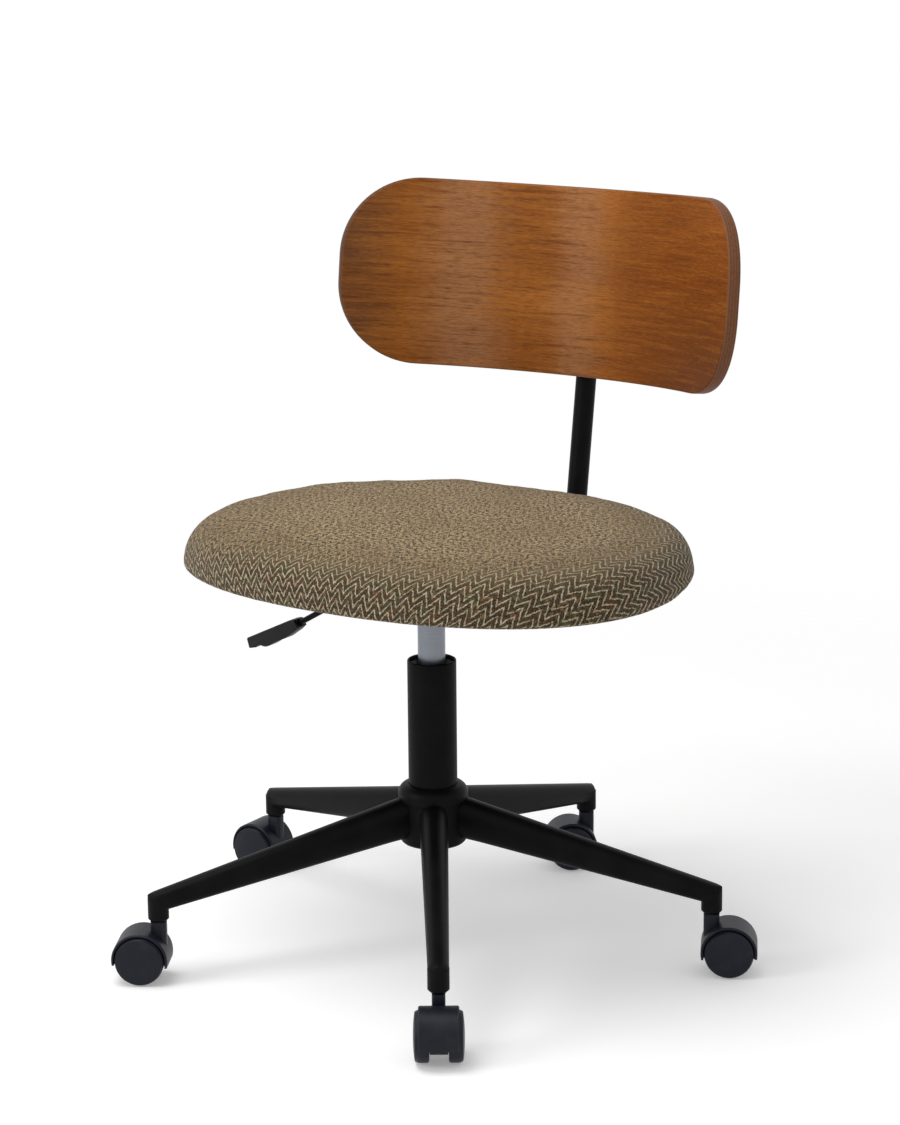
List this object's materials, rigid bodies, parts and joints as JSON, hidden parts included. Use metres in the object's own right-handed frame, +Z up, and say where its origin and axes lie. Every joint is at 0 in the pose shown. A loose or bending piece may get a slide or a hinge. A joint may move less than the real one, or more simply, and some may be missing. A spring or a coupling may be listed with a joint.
{
  "type": "bankers swivel chair",
  "caption": "Swivel office chair with a star base on casters, a gas lift with a side lever, a round upholstered seat and a curved wooden backrest on a bent tube.",
  "frame": {"origin": "on the floor, under the middle of the bounding box", "axes": "+Z up, -Y the way the sitter faces, +X the sitter's left hand"},
  "size_m": [0.6515, 0.6339, 0.756],
  "materials": {
    "black_paint": "black powder coat, semi-gloss",
    "black_plastic": "charcoal nylon, fine grain",
    "grey_plastic": "dark grey moulded grip",
    "chrome_steel": "satin ground and plated cylinder",
    "zinc_steel": "zinc plated steel",
    "walnut": "walnut veneer on plywood, satin lacquer, grain along the panel",
    "plywood": "raw plywood",
    "tweed": "cream and brown zigzag wool tweed",
    "black_cloth": "thin black non-woven cloth"
  },
  "bodies": {
    "base": {"base_hub": "black_paint", "front_left_leg": "black_paint", "left_leg": "black_paint", "rear_leg": "black_paint", "right_leg": "black_paint", "front_right_leg": "black_paint", "column_tube": "black_paint", "guide_sleeve": "black_plastic", "thrust_bearing": "zinc_steel"},
    "lift_rod": {"piston_rod": "zinc_steel", "retaining_clip": "zinc_steel"},
    "seat": {"gas_cylinder": "chrome_steel", "seat_plate": "black_paint", "lever_pivot_pin": "zinc_steel", "seat_board": "plywood", "seat_cushion": "tweed", "seat_bottom_cover": "black_cloth", "seat_bolt_front_left": "zinc_steel", "seat_bolt_front_right": "zinc_steel", "seat_bolt_rear_left": "zinc_steel", "seat_bolt_rear_right": "zinc_steel", "post_bolt_front": "zinc_steel", "post_bolt_rear_left": "zinc_steel", "post_bolt_rear_right": "zinc_steel", "back_post": "black_paint", "post_top_cap": "black_plastic", "backrest_panel": "walnut", "back_bracket": "black_paint", "back_screw_top_left": "zinc_steel", "back_screw_top_right": "zinc_steel", "back_screw_bottom_left": "zinc_steel", "back_screw_bottom_right": "zinc_steel"},
    "lever": {"lever_rod": "black_paint", "lever_handle": "grey_plastic"},
    "release_button": {"release_pin": "zinc_steel"},
    "front_left_caster": {"front_left_caster_stem": "zinc_steel", "front_left_caster_hood": "black_plastic", "front_left_caster_axle": "zinc_steel"},
    "front_left_wheel_a": {"front_left_caster_wheel_a": "black_plastic"},
    "front_left_wheel_b": {"front_left_caster_wheel_b": "black_plastic"},
    "left_caster": {"left_caster_stem": "zinc_steel", "left_caster_hood": "black_plastic", "left_caster_axle": "zinc_steel"},
    "left_wheel_a": {"left_caster_wheel_a": "black_plastic"},
    "left_wheel_b": {"left_caster_wheel_b": "black_plastic"},
    "rear_caster": {"rear_caster_stem": "zinc_steel", "rear_caster_hood": "black_plastic", "rear_caster_axle": "zinc_steel"},
    "rear_wheel_a": {"rear_caster_wheel_a": "black_plastic"},
    "rear_wheel_b": {"rear_caster_wheel_b": "black_plastic"},
    "right_caster": {"right_caster_stem": "zinc_steel", "right_caster_hood": "black_plastic", "right_caster_axle": "zinc_steel"},
    "right_wheel_a": {"right_caster_wheel_a": "black_plastic"},
    "right_wheel_b": {"right_caster_wheel_b": "black_plastic"},
    "front_right_caster": {"front_right_caster_stem": "zinc_steel", "front_right_caster_hood": "black_plastic", "front_right_caster_axle": "zinc_steel"},
    "front_right_wheel_a": {"front_right_caster_wheel_a": "black_plastic"},
    "front_right_wheel_b": {"front_right_caster_wheel_b": "black_plastic"}
  },
  "joints": [
    {"name": "seat_swivel", "type": "hinge", "parent": "base", "child": "lift_rod", "pos_m": [-0.005, -0.0254, 0.12], "axis": [0, 0, 1], "continuous": true},
    {"name": "seat_lift", "type": "slide", "parent": "lift_rod", "child": "seat", "axis": [0, 0, 1], "range_m": [-0.02, 0.08]},
    {"name": "lever_lift", "type": "hinge", "parent": "seat", "child": "lever", "pos_m": [-0.05, -0.0254, 0.3809], "axis": [0, 1, 0], "range_deg": [0, 5], "stiffness_Nm_per_rad": 0.6, "springref_deg": -17.19},
    {"name": "release_pin_press", "type": "slide", "parent": "seat", "child": "release_button", "axis": [0, 0, 1], "range_m": [-0.0041, 0]},
    {"name": "front_left_caster_swivel", "type": "hinge", "parent": "base", "child": "front_left_caster", "pos_m": [0.15828, -0.26748, 0.0624], "axis": [0, 0, 1], "continuous": true},
    {"name": "front_left_wheel_a_spin", "type": "hinge", "parent": "front_left_caster", "child": "front_left_wheel_a", "pos_m": [0.16809, -0.28258, 0.025], "axis": [0.8387, 0.5446, 0], "continuous": true},
    {"name": "front_left_wheel_b_spin", "type": "hinge", "parent": "front_left_caster", "child": "front_left_wheel_b", "pos_m": [0.16809, -0.28258, 0.025], "axis": [0.8387, 0.5446, 0], "continuous": true},
    {"name": "left_caster_swivel", "type": "hinge", "parent": "base", "child": "left_caster", "pos_m": [0.27569, 0.05509, 0.0624], "axis": [0, 0, 1], "continuous": true},
    {"name": "left_wheel_a_spin", "type": "hinge", "parent": "left_caster", "child": "left_wheel_a", "pos_m": [0.29167, 0.06337, 0.025], "axis": [-0.4602, 0.8878, 0], "continuous": true},
    {"name": "left_wheel_b_spin", "type": "hinge", "parent": "left_caster", "child": "left_wheel_b", "pos_m": [0.29167, 0.06337, 0.025], "axis": [-0.4602, 0.8878, 0], "continuous": true},
    {"name": "rear_caster_swivel", "type": "hinge", "parent": "base", "child": "rear_caster", "pos_m": [0.00519, 0.26642, 0.0624], "axis": [0, 0, 1], "continuous": true},
    {"name": "rear_wheel_a_spin", "type": "hinge", "parent": "rear_caster", "child": "rear_wheel_a", "pos_m": [-0.00911, 0.25549, 0.025], "axis": [0.6074, -0.7944, 0], "continuous": true},
    {"name": "rear_wheel_b_spin", "type": "hinge", "parent": "rear_caster", "child": "rear_wheel_b", "pos_m": [-0.00911, 0.25549, 0.025], "axis": [0.6074, -0.7944, 0], "continuous": true},
    {"name": "right_caster_swivel", "type": "hinge", "parent": "base", "child": "right_caster", "pos_m": [-0.27939, 0.07447, 0.0624], "axis": [0, 0, 1], "continuous": true},
    {"name": "right_wheel_a_spin", "type": "hinge", "parent": "right_caster", "child": "right_wheel_a", "pos_m": [-0.29739, 0.07453, 0.025], "axis": [-0.0035, -1, 0], "continuous": true},
    {"name": "right_wheel_b_spin", "type": "hinge", "parent": "right_caster", "child": "right_wheel_b", "pos_m": [-0.29739, 0.07453, 0.025], "axis": [-0.0035, -1, 0], "continuous": true},
    {"name": "front_right_caster_swivel", "type": "hinge", "parent": "base", "child": "front_right_caster", "pos_m": [-0.18477, -0.2555, 0.0624], "axis": [0, 0, 1], "continuous": true},
    {"name": "front_right_wheel_a_spin", "type": "hinge", "parent": "front_right_caster", "child": "front_right_wheel_a", "pos_m": [-0.20061, -0.26406, 0.025], "axis": [0.4756, -0.8796, 0], "continuous": true},
    {"name": "front_right_wheel_b_spin", "type": "hinge", "parent": "front_right_caster", "child": "front_right_wheel_b", "pos_m": [-0.20061, -0.26406, 0.025], "axis": [0.4756, -0.8796, 0], "continuous": true}
  ],
  "couplings": [
    {"joint": "release_pin_press", "follows": "lever_lift", "m_per_rad": -0.045}
  ]
}
